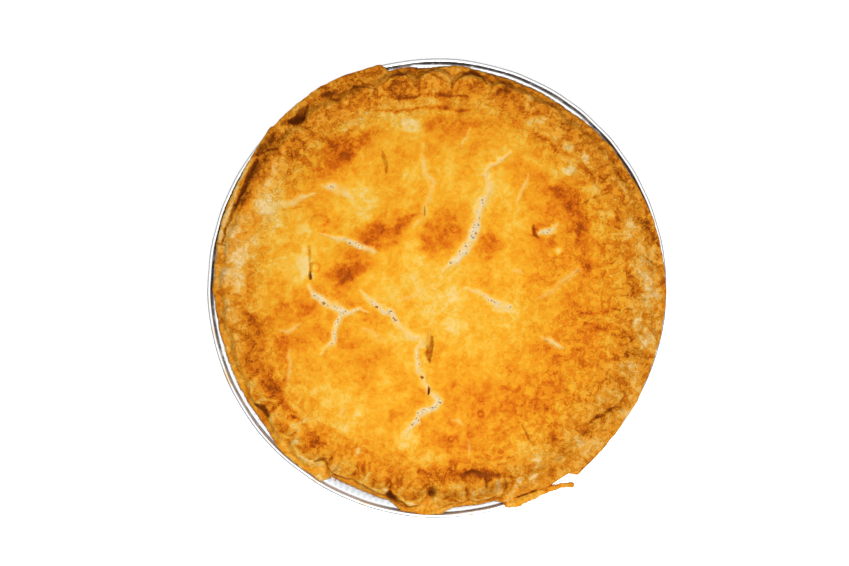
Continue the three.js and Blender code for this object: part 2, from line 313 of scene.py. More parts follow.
# Cracks: widths at even marks along the crack, depth, points along it
CRACKS = [
    ((0.8, 1.3, 1.5, 2, 2.2, 2.8, 3.4, 3.6, 2.8, 1), 1.1, [
        (37, 67.5), (30.5, 62.5), (25.5, 60), (23.5, 56), (26.5, 51.5), (25.5, 48), (22, 42), (20.5, 37),
        (19.5, 30.5), (17.5, 25.5), (13.5, 19), (9, 14), (3, 8.5)]),
    ((1, 1.7, 2, 1.7, 2, 1.4), 0.32, [
        (-7, 71), (-7, 67), (-6, 57), (-1.5, 51.5), (-4, 46), (-6.5, 38), (-6.5, 35.5), (-8, 33),
        (-11.5, 30.5)]),
    ((0.8, 2.2, 2.4, 1.8, 0.8), 0.42, [(-81.5, 40.5), (-77, 42), (-72, 42), (-68, 45), (-60, 47)]),
    ((0.8, 3, 3.4, 2.6, 1), 0.52, [(-57, 51), (-51.5, 49.8), (-45, 47), (-41.5, 44.5)]),
    ((0.6, 1.4, 2, 2.6, 1.8), 0.9, [
        (-58, 27), (-51.5, 25), (-45, 23.5), (-40, 21.5), (-33.5, 19), (-31.5, 18)]),
    ((1.4, 2.6, 2.8, 3.2, 2.6, 1.8, 0.8), 1.1, [
        (-63, 1), (-61.5, -2.5), (-57, -6), (-51.5, -8.5), (-47.5, -11), (-45, -13), (-41, -11),
        (-38, -10.5), (-34.5, -11.5)]),
    ((2.4, 2.2, 2, 2, 1), 1, [
        (-46.5, -12.5), (-49.5, -17.5), (-51, -22.5), (-51, -27), (-55, -29), (-57.5, -33)]),
    ((1, 2, 2.4, 2.2, 2.4, 1.2), 1, [
        (-37.5, -1), (-35, -4.5), (-29.5, -8.5), (-26.5, -11.5), (-23.5, -11.5), (-21, -15.5),
        (-16.5, -20), (-13, -23.5), (-10, -24)]),
    ((1.2, 1.7, 2, 2, 2.2, 2.8, 3, 2.4, 1), 1, [
        (-7.5, -26.5), (-10, -30), (-10, -34), (-9.5, -40), (-6.5, -43.5), (-6.5, -47), (-4, -50.5),
        (-2, -52.5), (1, -56), (-0.5, -58.5), (-4.5, -60.5), (-8.5, -62.5), (-10, -65.5), (-13, -69),
        (-16, -72)]),
    ((0.6, 1.4, 2, 3, 1.8), 0.55, [(13, 0), (19.5, -1.5), (23, -3.5), (26, -6), (29.5, -8), (36.5, -9)]),
    ((1.4, 2.4, 2, 0.8), 0.25, [(70.5, 9.5), (67.5, 7), (61.5, 3), (59.5, 0.5), (49, -6)]),
    ((0.6, 1.6, 1.4, 0.5), 0.43, [(45.5, 57), (44, 52.5), (41.5, 47), (38.5, 41)]),
    ((0.5, 1.3, 1, 0.4), 0.38, [(16.5, 79), (14.5, 74.5), (12.5, 72), (12, 69.5)]),
    ((0.8, 2, 2, 0.8), 0.45, [(51, -24.5), (55.5, -25.5), (57, -27), (60, -28.5), (63, -30)]),
    ((0.6, 1.6, 1.5, 0.6), 0.38, [(-77.5, -21.5), (-73.5, -21.5), (-70.5, -19.5), (-67.5, -18)]),
    ((0.8, 1.4, 1.2, 0.6), 0.37, [(-73, -30.5), (-74, -34), (-73, -38.5), (-74.5, -46)]),
    ((1, 2, 1), 0.35, [(-46.5, -59.5), (-48.5, -63)]),
    ((1, 1.6, 1), 0.43, [(-38.5, -79), (-40, -83)]),
    ((0.6, 1.2, 0.6), 0.3, [(15.5, -75), (16, -80), (16, -84.5)]),
    ((0.7, 1.5, 0.7), 0.37, [(7, -65), (10, -65.5), (13, -68)]),
    ((1, 1.6, 1), 0.36, [(37.5, 9), (42, 7.5)]),
    ((1, 2.6, 2.2, 1), 0.52, [(50, 27), (52, 27.5), (56, 28), (60, 32)]),
    ((1.4, 2.4, 1.4), 0.23, [(1, 1.5), (-5.5, 0), (-12, -4), (-18, -6)]),
    ((1.6, 2.8, 1.6), 0.23, [(-36.5, -20), (-30, -23.5), (-25.5, -27)]),
    ((1, 2.6, 2), 0.24, [(-3.8, -21.5), (-5.4, -26), (-5.4, -29)]),
]

# Vents, slits and creases: widths, depth, darkness, points. The darkness is painted shade in the vents and
# creases, and the colour of a few small dark specks.
SLITS = [
    ((1, 2.6, 4.4, 3.6, 2.6, 1), 0.8, 0.14, [(-3.6, -20.5), (-4.4, -26.5), (-4.2, -31.5), (-3.8, -36.5)]),
    ((2, 3.4, 2.8, 1.8), 0.9, 0.38, [(-4.6, -29), (-4.2, -33), (-3.7, -36)]),
    ((1.2, 1.8, 1.6), 1, 0.5, [(-2.9, -24), (-2.6, -28), (-3.2, -33.5)]),
    ((0.8, 2, 1.8, 0.8), 0.8, 0.3, [(-27, 68), (-25.5, 62), (-25, 57)]),
    ((0.9, 1, 1), 0.8, 0.3, [(-63.5, 21), (-63.3, 15), (-63, 8)]),
    ((0.8, 1.5, 1.2), 1.6, 0.85, [(-63, 8.5), (-62.8, 4.6)]),
    ((0.8, 1.8, 1.6, 1), 1.2, 0.5, [(47.5, 31), (48, 27), (50, 25)]),
    ((0.9, 1, 0.9), 2, 1, [(-7.8, -43.8), (-7.2, -44.3)]),
    ((0.8, 0.9, 0.8), 1, 0.9, [(-56.4, -7), (-55.8, -7.5)]),
    ((0.8, 1, 0.8), 1, 0.9, [(-30.2, -9), (-29.8, -9.5)]),
    ((0.7, 0.9, 0.7), 1, 0.8, [(-21.2, -15.3), (-20.8, -15.7)]),
    ((0.6, 1.1, 0.6), 2.4, 1, [(-4.2, -49.2), (-4, -52.8)]),
    ((0.5, 0.8, 0.5), 0.6, 0.5, [(-6.2, 40.5), (-6.2, 36.2)]),
    ((0.5, 0.9, 0.7, 0.5), 1, 0.35, [(42, -68), (44, -71), (45.5, -75), (48, -78.5)]),
    ((0.5, 0.8, 0.5), 0.6, 0.35, [(86.5, -10.2), (91, -10.8)]),
    ((0.5, 0.8, 0.5), 0.6, 0.3, [(93.5, -10.2), (97.5, -10.8)]),
    ((0.8, 1.7, 0.8), 0.8, 0.5, [(13.4, -92.4), (17.5, -91), (21.6, -92.4)]),
    ((1, 2.8, 3.4, 1.8), 1.4, 0.7, [(-91, -58), (-87, -59.2), (-86, -60.6), (-84.6, -63.3)]),
    ((1, 2, 1.6, 0.8), 1, 0.5, [(-60.5, -85.8), (-56.5, -84.6), (-55, -86.4), (-54.8, -88.6)]),
    ((0.7, 0.9, 0.9, 1.2, 0.9), 0.8, 0.4, [
        (-54.8, -89), (-51, -93), (-42.5, -95.5), (-37, -98), (-26.8, -103.1)]),
    ((1, 1.4, 1, 0.8), 1, 0.5, [(-23.7, -103.9), (-17.1, -106.4), (-14.6, -108.9), (-8.6, -108.3)]),
    ((0.8, 1.4, 1.4, 0.8), 0.8, 0.33, [(-26.6, 101.7), (-22, 105.8), (-15.9, 106.3), (-11.8, 102.7)]),
    ((0.8, 1.2, 0.9, 0.8), 0.8, 0.26, [
        (-11.8, 102.7), (-8.2, 106.3), (-4.1, 107.3), (1.5, 104.3), (7.6, 101.2)]),
    ((0.8, 1.4, 2, 1.8, 0.9), 0.8, 0.38, [
        (7.6, 101.2), (12.7, 105.8), (17.3, 107.8), (22.4, 105.3), (24.5, 101.2)]),
    ((0.7, 1, 0.7), 0.7, 0.35, [(-43.9, 100.7), (-37, 100.3), (-31.2, 99.2)]),
    ((0.6, 1, 0.6), 0.6, 0.3, [(104, 14.6), (107, 12.6), (109.7, 11.1)]),
    ((0.6, 0.9, 0.6), 0.6, 0.4, [(86.3, 11.8), (88.8, 13.6)]),
    ((0.8, 1.6, 1), 0.8, 0.4, [(24, -94), (24.7, -97), (24.5, -99.5)]),
    ((2, 4.4, 4.4, 1.5), 1.4, 0.92, [(-73.2, 82.8), (-71, 83.4), (-68.5, 84.2), (-66, 84.6)]),
    ((3.5, 5.5, 4, 1.5), 1.2, 0.55, [(-69.5, 84.5), (-67.5, 87), (-65.5, 89.3), (-64.2, 91)]),
    ((0.8, 1.6, 1), 0.7, 0.4, [(-58.3, 95.7), (-54, 97.2), (-51, 97.3)]),
    ((2, 4.5, 4.5, 2), 0.8, 0.48, [(-89.5, 66.6), (-87, 69.5), (-84, 73.5), (-81.4, 77)]),
    ((0.8, 1.2, 0.8), 0.7, 0.45, [(-79.7, 69.4), (-83, 69), (-87.4, 67.1)]),
    ((1.4, 2.6, 3, 2.2, 1.4), 0.8, 0.5, [
        (-89.6, 64), (-93.6, 55.8), (-96.8, 48.3), (-98.6, 44.3), (-100.6, 40)]),
    ((2, 1.8, 1.6, 1.4, 1), 0.8, 0.55, [(-100.8, 41.4), (-103.4, 33.2), (-105.7, 28.7), (-106.8, 22.8)]),
    ((0.8, 1.2, 0.8), 0.7, 0.35, [(-101.5, 32), (-104, 30.6), (-106.2, 29)]),
    ((1.4, 1.2, 0.6), 0.8, 0.5, [(-110.4, 22.4), (-107.7, 22.2), (-105.4, 21.5)]),
    ((0.6, 1, 0.6), 0.7, 0.5, [(73, 42.4), (75, 43.4)]),
    ((0.6, 0.9, 0.6), 0.7, 0.45, [(77.6, 44.8), (79.2, 46)]),
    ((1.2, 2.4, 2.6, 1.8), 0.8, 0.24, [
        (76.8, -66.5), (78.7, -64.2), (83.3, -61.9), (88.3, -59.6), (93, -60.7)]),
    ((0.8, 2, 1.6, 0.8), 0.7, 0.25, [(105, -18.5), (107.5, -21), (109.2, -23.5), (110.2, -26.5)]),
    ((0.6, 1.3, 0.8), 0.8, 0.7, [(39, -104.6), (44, -102.8), (49.5, -100.9)]),
    ((0.8, 1.4, 1), 0.8, 0.38, [(33.6, -95), (34.4, -96.6), (34.2, -99)]),
]

# Browned patches, and paler ones where the amount is below nought: x, y, half sizes, turn, amount
PATCHES = [
    (35, 15, 22, 16, 0, 0.07), (15, 37, 16, 20, 0, 0.06), (15, -37, 16, 20, 0, 0.05),
    (-70, -28.5, 16, 23, 0, 0.1), (-28, -68, 25, 15, 0, 0.08), (28, -68, 25, 16, 0, 0.12),
    (-38, -87, 34, 7, -22, 0.19), (-92, 25, 6, 20, 0, 0.05), (-27.5, 26.5, 13.5, 7.5, 20, 0.36),
    (-14, 33, 7, 3, 25, 0.37), (-42.5, 9.8, 10.5, 6.5, 25, 0.25), (-49, 3.2, 9, 5.5, 35, 0.24),
    (-45, 71, 13, 7, 20, 0.24), (-53, 62.5, 12, 7, 35, 0.12), (-4, 27.5, 12, 4, 0, 0.16),
    (6.5, 29.5, 9, 6.5, 0, 0.26), (24.7, 20, 6, 6, 0, 0.24), (56, 55, 8, 5, -50, 0.06),
    (61, 27, 13, 24, 0, 0.15), (3, 80.5, 11, 5, 3, 0.24), (-66, -20, 17, 11, 0, 0.21),
    (53.5, -43, 30, 22, 0, 0.16), (75.5, -19, 18, 9, 0, 0.04), (-62, -75.5, 5, 3, -40, 0.28),
    (-63.5, -78, 3, 3, 0, 0.26), (-33, -33, 12, 10, 0, 0.1), (-18, -65, 14, 8, 0, 0.1),
    (-17.5, -82.5, 3, 3, 0, 0.22), (-24, 78, 6, 4, 0, 0.14), (74.2, -71.7, 4, 5, 0, 0.4),
    (57.2, -76, 4, 4, 0, 0.16), (58, -62, 6, 1.6, -12, 0.2), (91.7, -32.5, 5, 4, 0, 0.25),
    (87.2, -24.6, 2, 2, 0, 0.25), (-83.6, 69.5, 3.5, 8, -40, 0.24), (-54, 95.5, 5, 2.6, 25, 0.25),
    (-21, 97.8, 4, 2.2, 0, 0.3), (17.7, 106, 4, 1.6, 0, 0.3), (36, 101.5, 4, 2.4, -20, 0.3),
    (-11, -104.5, 3, 2, -10, 0.14), (8, -106, 3.5, 1.8, 0, 0.22), (49.9, 86, 3.4, 1.6, 0, 0.25),
    (73.6, 50.7, 2.4, 2, 0, 0.1), (70, 60, 7, 2, -35, 0.15), (40, 81.5, 2.4, 2, 0, 0.2),
    (27, 64.5, 5, 3.4, 0, 0.17), (14.5, 38.5, 4, 4, 0, 0.2), (60, 16, 3, 2, 0, 0.1),
    (98, -1.5, 2, 4, 0, 0.25), (-101, 8, 5.5, 14, 5, -0.24), (-88, 42.5, 6, 5, 40, -0.2),
    (-81.2, 34, 5, 5, 0, -0.2), (-95, 24, 5, 10, 0, -0.16), (0, 20, 9, 6, 0, 0.38),
    (7, -95, 10, 3, 0, 0.36), (-39.5, 40, 10, 10, 0, -0.28), (-63.8, -4, 6, 8, 0, 0.3),
    (-28, -3.5, 12, 9, -15, -0.2), (-10.5, 55.5, 6, 7, 0, -0.3), (91, 48.5, 6, 6, 0, -0.2),
    (69, 62, 8, 6, 0, -0.24), (44, 54, 6, 7, 0, 0.12), (45, 41, 5, 6, 0, 0.13), (38, 59, 5, 6, 0, 0.12),
    (53, 26, 7, 5, 0, 0.17), (14, 15.5, 7, 5, 0, 0.19), (-8, 22, 5, 5, 0, 0.12),
    (74.5, 46, 5, 5, 0, -0.22), (-37, -88, 2.4, 3, 0, 0.2), (-57, -71, 6.5, 4, -30, 0.19),
    (-27.5, -22, 8, 7, 0, -0.14), (-40.5, 81, 7, 5, 15, -0.18), (91.5, -25, 5, 5, 0, 0.14),
    (84, 60, 6, 5, 0, -0.18), (-93.6, -40, 4, 12, 15, 0.17), (-34.5, -53, 8, 7, 0, 0.12),
    (-32.4, -95.5, 3, 2, 0, 0.22), (-27.5, -98, 3.4, 2.4, 30, -0.34), (-46.4, -88.7, 5, 3, -20, -0.22),
    (-21.8, -97.5, 2.6, 4.6, 0, 0.32), (16.5, -98.5, 8, 4, 0, 0.18), (26, -92, 5, 3, 0, 0.14),
    (35.5, -93.5, 3, 2, 0, -0.12), (50.7, -89, 4, 3.4, 0, -0.35), (56.5, -89, 3.5, 3, 0, 0.18),
    (75.5, 6, 5.5, 5.5, 0, 0.19), (87, -60, 4, 3, 30, 0.16), (-104.5, -11, 4, 6, 0, -0.36),
    (-62.5, 30.5, 7, 5, 0, -0.26), (-82.5, 41, 8, 6, 0, -0.2), (-12.5, 80.5, 4, 3.6, 0, -0.33),
    (56, 28.3, 4.5, 3, 10, -0.28), (61.2, 18.8, 2, 2, 0, -0.4), (50.3, 82, 3, 2, 0, -0.42),
    (66, 70.8, 2.2, 2, 0, -0.46), (73.6, 65.7, 2.2, 2, 0, -0.4), (67.3, 59.4, 2.4, 2.2, 0, -0.52),
    (60.5, 57.5, 5, 3.4, 0, -0.3), (-68, 9, 9, 9, 0, -0.16), (-66, 13, 1.8, 9, 0, -0.2),
    (41, -17, 16, 11, 0, -0.13), (1.5, -13, 10, 10, 0, -0.14), (-6, 4, 20, 10, 0, -0.04),
    (-16, -75, 6, 5, 0, -0.22), (80.5, -55.5, 9, 6, 0, -0.12), (61, -60.5, 8, 6, 0, -0.12),
    (-13, -26, 8, 14, 0, -0.2), (-53, -53, 10, 6, 0, -0.12), (45, -74, 8, 13, 0, -0.17),
    (49.5, -84.6, 4, 2.6, 0, -0.3), (100.5, -28.2, 3, 2.6, 0, -0.24), (89, -43.5, 1.6, 2.2, 0, 0.26),
    (79.9, -55.8, 2.6, 2, 0, -0.24), (88.7, 32.5, 2.6, 2.6, 0, 0.24), (93.3, 22.2, 2, 2, 0, 0.24),
    (74.2, -80, 5, 4, 30, -0.2), (106.5, -5, 4, 6, 0, -0.27), (106, -28, 4, 6, 0, -0.25),
    (102.5, 12, 4, 5, 0, -0.22), (100, -14, 4, 4, 0, -0.25), (96, -40, 5, 4, 0, -0.18),
    (83, -28, 8, 5, 0, -0.14), (71, -46, 10, 7, 0, -0.18), (80, 48, 3, 3, 0, -0.25),
    (85, 36, 4, 3, 0, -0.16), (94, 30, 4, 5, 0, -0.16), (-63.8, 84.5, 3.5, 5, -35, 0.2),
]

# Browned streaks, and paler ones where the amount is below nought: widths at even marks, amount, points
STREAKS = [
    ((0.8, 1.8, 2.2, 2.4, 1.5), 0.36, [
        (-31, 87.5), (-24, 88.5), (-14, 89.5), (-5, 90), (7, 89.5), (16, 88.5)]),
    ((0.8, 1.6, 1.8, 1.2), 0.36, [(-30, 95), (-19, 95.5), (-9.5, 95.5), (2.5, 95.5), (16.5, 95)]),
    ((5, 13, 12, 11, 8, 6, 5), 0.34, [
        (-94.5, -13.5), (-89.5, -19.7), (-91, -27.5), (-87.8, -37.5), (-85, -45), (-80, -54),
        (-71.5, -63.5)]),
    ((6, 8, 7, 7, 8, 6), 0.17, [(46.5, 60.5), (57.5, 53), (65, 43.5), (71, 33), (73.5, 24), (73.5, 10)]),
    ((3, 7, 10, 10, 8, 6, 2), 0.38, [
        (-9, -91.5), (-4, -91.5), (2, -90.5), (8, -89.5), (15, -90.5), (26, -92.3), (34, -93)]),
    ((0.8, 2.4, 3.2), -0.28, [(-34.4, -88.8), (-34.8, -91), (-34.2, -93)]),
    ((1.5, 3, 2), 0.3, [(72, -11.4), (78, -12.5), (84, -12)]),
    ((2, 3, 2), 0.22, [(73, -17.5), (78, -18.5), (84, -21.5)]),
    ((1.5, 3, 2), 0.3, [(97.5, -12), (96.8, -19), (97, -26)]),
    ((2, 3.5, 2), 0.26, [(86, -60.5), (80, -63.5), (74, -68)]),
    ((2, 3, 2.5, 1.5), 0.2, [(62, 70), (68, 64.5), (76, 58.5), (82, 54)]),
    ((1.2, 2.2, 1.2), 0.14, [(-93.8, 21.7), (-93.4, 10), (-93.6, -1)]),
    ((0.6, 1.2, 0.6), 0.28, [(-75, -63), (-71, -64.5), (-67, -66.3)]),
    ((1, 1.8, 1), 0.2, [(-76, 38.6), (-70, 39.6), (-64, 40)]),
    ((2, 3.4, 3.4, 2), 0.24, [(95.9, 15.3), (95.2, 9.6), (98.2, 3.5), (97.5, -2.7)]),
    ((0.8, 1.4, 0.8), -0.22, [(-87.8, -56.3), (-83, -56.4), (-78.3, -56.8)]),
    ((0.8, 1.6, 1), -0.16, [(-83.5, -62.6), (-83.8, -67), (-83.5, -71)]),
    ((1, 2.4, 1.4), -0.22, [(-67.6, -67.8), (-65, -66.4), (-62.5, -64.3)]),
    ((4, 7, 4), -0.12, [(-72, -69), (-70.7, -72), (-68, -76)]),
    ((0.8, 1.6, 0.8), -0.24, [(-68.8, -83.3), (-63.9, -86.4), (-59.3, -86.8)]),
    ((0.8, 1.4, 0.8), -0.2, [(-62, -77.4), (-58.5, -78.6), (-54.8, -79.4)]),
    ((1, 2, 2, 1), -0.22, [(-32.8, -99.2), (-29.8, -101.4), (-26.8, -102.2), (-22.5, -96.1)]),
    ((1, 1.8, 1.8, 1), -0.22, [(-19.5, -99.8), (-17.6, -103.5), (-15.9, -106.4), (-8.6, -107.7)]),
    ((0.8, 1.5, 0.8), -0.18, [(-16.5, -97), (-17, -99), (-17.2, -101)]),
    ((0.8, 3, 5), -0.33, [(32.7, -94.4), (31.4, -97), (30.2, -101)]),
    ((2, 4, 4), -0.26, [(42.5, -95), (39.6, -97.5), (38, -101)]),
    ((4, 7, 6, 3), -0.16, [(96, 33), (98, 28), (99, 22), (99.5, 17)]),
    ((4, 7, 5), -0.2, [(102, 10), (103.2, 5.3), (104.5, -1)]),
    ((0.8, 1.4, 1), -0.08, [(-64, 91), (-64.4, 85.3), (-66.2, 81.2)]),
    ((0.8, 1.4, 0.8), -0.18, [(-67.9, 81.4), (-64.5, 81), (-61.7, 80.8)]),
    ((4, 9, 10, 8, 4), 0.3, [(-88, 62.5), (-92, 55), (-95, 47.6), (-97, 44), (-99, 39.6)]),
    ((1, 2, 2.2, 1.8), -0.3, [
        (-92.2, 64.6), (-97, 56), (-101.3, 47.2), (-104.9, 38.2), (-107.6, 28.8), (-108.9, 23.1)]),
    ((2, 3.4, 3.4, 2), -0.2, [(-80.3, 61.7), (-82.4, 57.5), (-85.3, 50.1)]),
    ((2, 3, 2), 0.24, [(47.7, 78), (55.3, 73.5), (60.6, 68.6)]),
    ((2, 3.4, 3), -0.16, [(101.5, -16), (103, -20.5), (104.2, -24)]),
    ((0.8, 3.4, 6), -0.28, [(49.5, -88), (48, -91.5), (47, -95.5)]),
    ((0.8, 1.4, 0.8), 0.18, [(33.6, -93.8), (38, -94.2), (42.8, -94.3)]),
    ((2, 4, 3.4, 1.6), 0.2, [(-4, -22), (-5, -27), (-4.6, -33), (-4, -36.5)]),
    ((2, 3, 2), 0.2, [(70, -92.5), (73.5, -90), (77, -86.5)]),
    ((1.6, 3, 3.4, 3, 1.6), 0.2, [(104, 38), (109, 23), (112, 8), (113, -6), (111.5, -18)]),
]

# How rough and flaky the edge is: angle in degrees, share
EDGE_ROUGHNESS = [
    (0, 1), (55, 0.95), (80, 0.7), (105, 0.9), (140, 0.95), (155, 0.75), (200, 0.75), (225, 0.7),
    (300, 0.75), (325, 0.95), (360, 1),
]

# Blisters: x, y, half sizes, height, browning of the outline
BLISTERS = [
    (-58.5, 33.5, 4, 2.5, 0.5, 0.2), (-60.4, 10.4, 2.2, 2.2, 0.5, 0.3), (15, 58.5, 2, 2, 0.3, 0.1),
    (21.6, -62.4, 1.4, 1.3, 0.4, 0.26), (16.3, -63, 1.3, 1.1, 0.4, 0.16),
    (6.9, -74.9, 1.2, 1.2, 0.4, 0.2), (33.5, -58, 1.6, 1.6, 0.3, 0.06), (30.5, -82.5, 2.4, 2, 0.4, 0.1),
    (-20, -64.9, 3.3, 3, 0.3, 0.1), (17.5, -93.9, 4.1, 2.6, 1, 0.25), (8.6, 29.2, 2, 1.7, 0.5, 0.14),
    (1.5, 17.5, 4.4, 4, 0.3, 0.1),
]

# Relief of the lid: size, height where the crust is smooth, added height where it is rough
LID_RELIEF = [(13, 0.3, 0), (5.5, 0.1, 0.3), (2.6, 0.04, 0.16), (1.3, 0.03, 0.07)]

# Clouds of darker and paler crust: size, amount
BAKE_CLOUDS = [(24, 0.15), (10, 0.12), (4, 0.08), (1.8, 0.05)]

# Noise that makes the edges of marks ragged: size, reach
CRACK_RAGGED = [(3, 0.6), (1.3, 0.4)]
PATCH_RAGGED = [(8, 2.4), (3, 1.5)]

FULL_CRACK_DEPTH = 0.6
FULL_HALO_DEPTH = 0.75
HALO_PALENESS = 0.15
LATTICE_CELLS = 32

# How far from a path its marks are worked out, in widths, and the ratio that stands for places beyond
PATH_MARGIN = 3
FAR_RATIO = 9.0


def noise(points, size, seed):
    """Smooth noise from -1 to 1: seeded values on a turned cubic lattice of a cell size, blended smoothly."""
    rng = np.random.default_rng(seed)
    lattice = rng.uniform(-1, 1, (LATTICE_CELLS,) * 3)
    turn = np.linalg.qr(rng.normal(size=(3, 3)))[0]
    place = points @ turn / size + rng.uniform(0, LATTICE_CELLS, 3)
    cell = np.floor(place).astype(int)
    part = place - cell
    part = part * part * (3 - 2 * part)
    total = np.zeros(points.shape[:-1])
    for corner in np.ndindex(2, 2, 2):
        i, j, k = np.moveaxis((cell + corner) % LATTICE_CELLS, -1, 0)
        total += np.where(corner, part, 1 - part).prod(axis=-1) * lattice[i, j, k]
    return total


def flat_points(x, y):
    """Points at height 0, where noise is read for marks that are placed in plan."""
    return np.stack([x, y, np.zeros_like(x)], axis=-1)


def ragged(points, moves, seed):
    """x and y of points, moved about by noise of each size and reach, so that edges read there are ragged."""
    x = points[..., 0]
    y = points[..., 1]
    for order, (size, reach) in enumerate(moves):
        x = x + reach * noise(points, size, seed + order)
        y = y + reach * noise(points, size, seed + len(moves) + order)
    return x, y


def path_ratio(x, y, path, widths):
    """Distance from a path in half widths at each place, and the width there.

    The distance is 0 on the path, 1 at its edge and large elsewhere. The path is straight between its
    points, and the width is straight between even marks along it.
    """
    points = np.array(path, float)
    margin = PATH_MARGIN * max(widths)
    low = points.min(axis=0) - margin
    high = points.max(axis=0) + margin
    near = (x > low[0]) & (x < high[0]) & (y > low[1]) & (y < high[1])
    px, py = x[near], y[near]
    ratio = np.full(x.shape, FAR_RATIO)
    local_width = np.ones(x.shape)
    best, best_width = ratio[near], local_width[near]
    steps = np.diff(points, axis=0)
    lengths = np.hypot(steps[:, 0], steps[:, 1])
    marks = np.concatenate([[0], np.cumsum(lengths)])
    for (x0, y0), (dx, dy), length, start in zip(points, steps, lengths, marks):
        share = np.clip(((px - x0) * dx + (py - y0) * dy) / length**2, 0, 1)
        gap = np.hypot(px - x0 - share * dx, py - y0 - share * dy)
        width = np.interp(start + share * length, np.linspace(0, marks[-1], len(widths)), widths)
        best_width = np.where(2 * gap / width < best, width, best_width)
        best = np.minimum(best, 2 * gap / width)
    ratio[near] = best
    local_width[near] = best_width
    return ratio, local_width


def spot(x, y, place, half_sizes, turn_deg):
    """A soft oval spot: 1 at its middle and 0 well beyond its half sizes, turned by an angle."""
    turn = np.radians(turn_deg)
    dx, dy = x - place[0], y - place[1]
    u = (dx * np.cos(turn) + dy * np.sin(turn)) / half_sizes[0]
    v = (dy * np.cos(turn) - dx * np.sin(turn)) / half_sizes[1]
    return 1 - smooth_step(np.hypot(u, v), 0.4, 1.6)


def crust_marks(x, y):
    """Depth of the cracks and slits in plan, with the shares of pale crumb, dark hollow and pale rim there.

    Each crack is a shallow trough with a paler rim, and its crumb is palest where it is deep and wide.
    Noise moves the places about, so that the edges are ragged.
    """
    place = flat_points(x, y)
    ragged_x, ragged_y = ragged(place, CRACK_RAGGED, 11)
    uneven = np.clip(0.8 + 0.35 * noise(place, 5, 15) + 0.25 * noise(place, 1.6, 16), 0, 1)
    dip, crumb, dark, halo = np.zeros((4, *x.shape))
    for widths, depth, path in CRACKS:
        ratio, width = path_ratio(ragged_x, ragged_y, path, widths)
        open_share = 1 - smooth_step(ratio, 0.1, 2.4)
        paleness = min(1, depth / FULL_CRACK_DEPTH) * np.minimum(0.97, 0.42 + 0.19 * width)
        crumb = np.maximum(crumb, open_share * uneven * paleness)
        halo = np.maximum(halo, (1 - smooth_step(ratio, 0.8, 3.2)) * min(1, depth / FULL_HALO_DEPTH))
        dip = np.maximum(dip, 0.55 * depth * open_share)
    for widths, depth, darkness, path in SLITS:
        loose = min(1, 0.2 + max(widths) / 5)
        ratio, _ = path_ratio(x + loose * (ragged_x - x), y + loose * (ragged_y - y), path, widths)
        dip = np.maximum(dip, depth * (1 - smooth_step(ratio, 0.2, 1.15)))
        dark = np.maximum(dark, darkness * (1 - smooth_step(ratio, 0.5, 1.4)))
        crumb = crumb * (1 - darkness * (1 - smooth_step(ratio, 0.8, 1.3)))
    return dip, crumb, dark, halo


def closed_curve(angle, pairs):
    """A value round the pie from pairs of degrees and value, straight between them."""
    return np.interp(np.degrees(angle) % 360, *np.array(pairs, float).T)


def roughness_at(x, y):
    """How rough the crust is, from 0 to 1: smooth at the left and middle, flaky at the right and the edge."""
    lid = 0.2 + 0.4 * smooth_step(x - 0.3 * y, 25, 80)
    edge = closed_curve(np.arctan2(y, x), EDGE_ROUGHNESS)
    return lid + (edge - lid) * smooth_step(np.hypot(x, y), 74, 98)


def bell(value, middle, spread):
    """A bell curve: 1 where the value is at the middle, falling away over the spread."""
    return np.exp(-(((value - middle) / spread) ** 2))


def blisters_at(x, y):
    """Height of the blisters and browning of their outlines at each place in plan."""
    rise, outline = np.zeros((2, *x.shape))
    for bx, by, wide, long, height, browning in BLISTERS:
        reach = np.hypot((x - bx) / wide, (y - by) / long)
        rise = rise + height * (1 - smooth_step(reach, 0.4, 1.3))
        outline = np.maximum(outline, browning * bell(reach, 1.05, 0.2 + 0.3 / wide))
    return rise, outline


def lid_height(x, y, dip):
    """Height of the lid: a dome, broad swellings, noise and blisters, less the depth of the cracks."""
    share = np.minimum(1, np.hypot(x, y) / GUTTER_RADIUS)
    swell = sum(rise * bell(np.hypot(x - sx, y - sy), 0, spread) for sx, sy, spread, rise in SWELLINGS)
    height = GUTTER_HEIGHT + DOME_RISE * (1 - share**DOME_POWER) + swell * (1 - share**SWELLING_FADE_POWER)
    place = flat_points(x, y)
    rough = roughness_at(x, y)
    for seed, (size, smooth, added) in enumerate(LID_RELIEF, 21):
        height = height + (smooth + added * rough) * noise(place, size, seed)
    return height + blisters_at(x, y)[0] - dip


def bake_at(x, y):
    """How far the crust is baked at each place in plan: 0 is cream, 0.4 golden and 1 dark brown.

    Broad shading, cloudy noise, and patches and streaks with ragged edges are added up.
    """
    place = flat_points(x, y)
    reach = np.hypot(x, y)
    bake = 0.36 + 0.08 * smooth_step(reach, 30, 85) + 0.1 * smooth_step(x - 0.4 * y, 15, 75)
    patchy = 1.25 - 0.45 * smooth_step(x, 0, 60)
    for size, amount in BAKE_CLOUDS:
        bake = bake + amount * patchy * noise(place, size, 31 + round(10 * size))
    ragged_x, ragged_y = ragged(place, PATCH_RAGGED, 34)
    for px, py, rx, ry, turn, amount in PATCHES:
        bake = bake + amount * spot(ragged_x, ragged_y, (px, py), (rx, ry), turn)
    for widths, amount, path in STREAKS:
        ratio, _ = path_ratio((x + ragged_x) / 2, (y + ragged_y) / 2, path, widths)
        bake = bake + amount * (1 - smooth_step(ratio, 0.2, 1.4))
    return bake + blisters_at(x, y)[1]


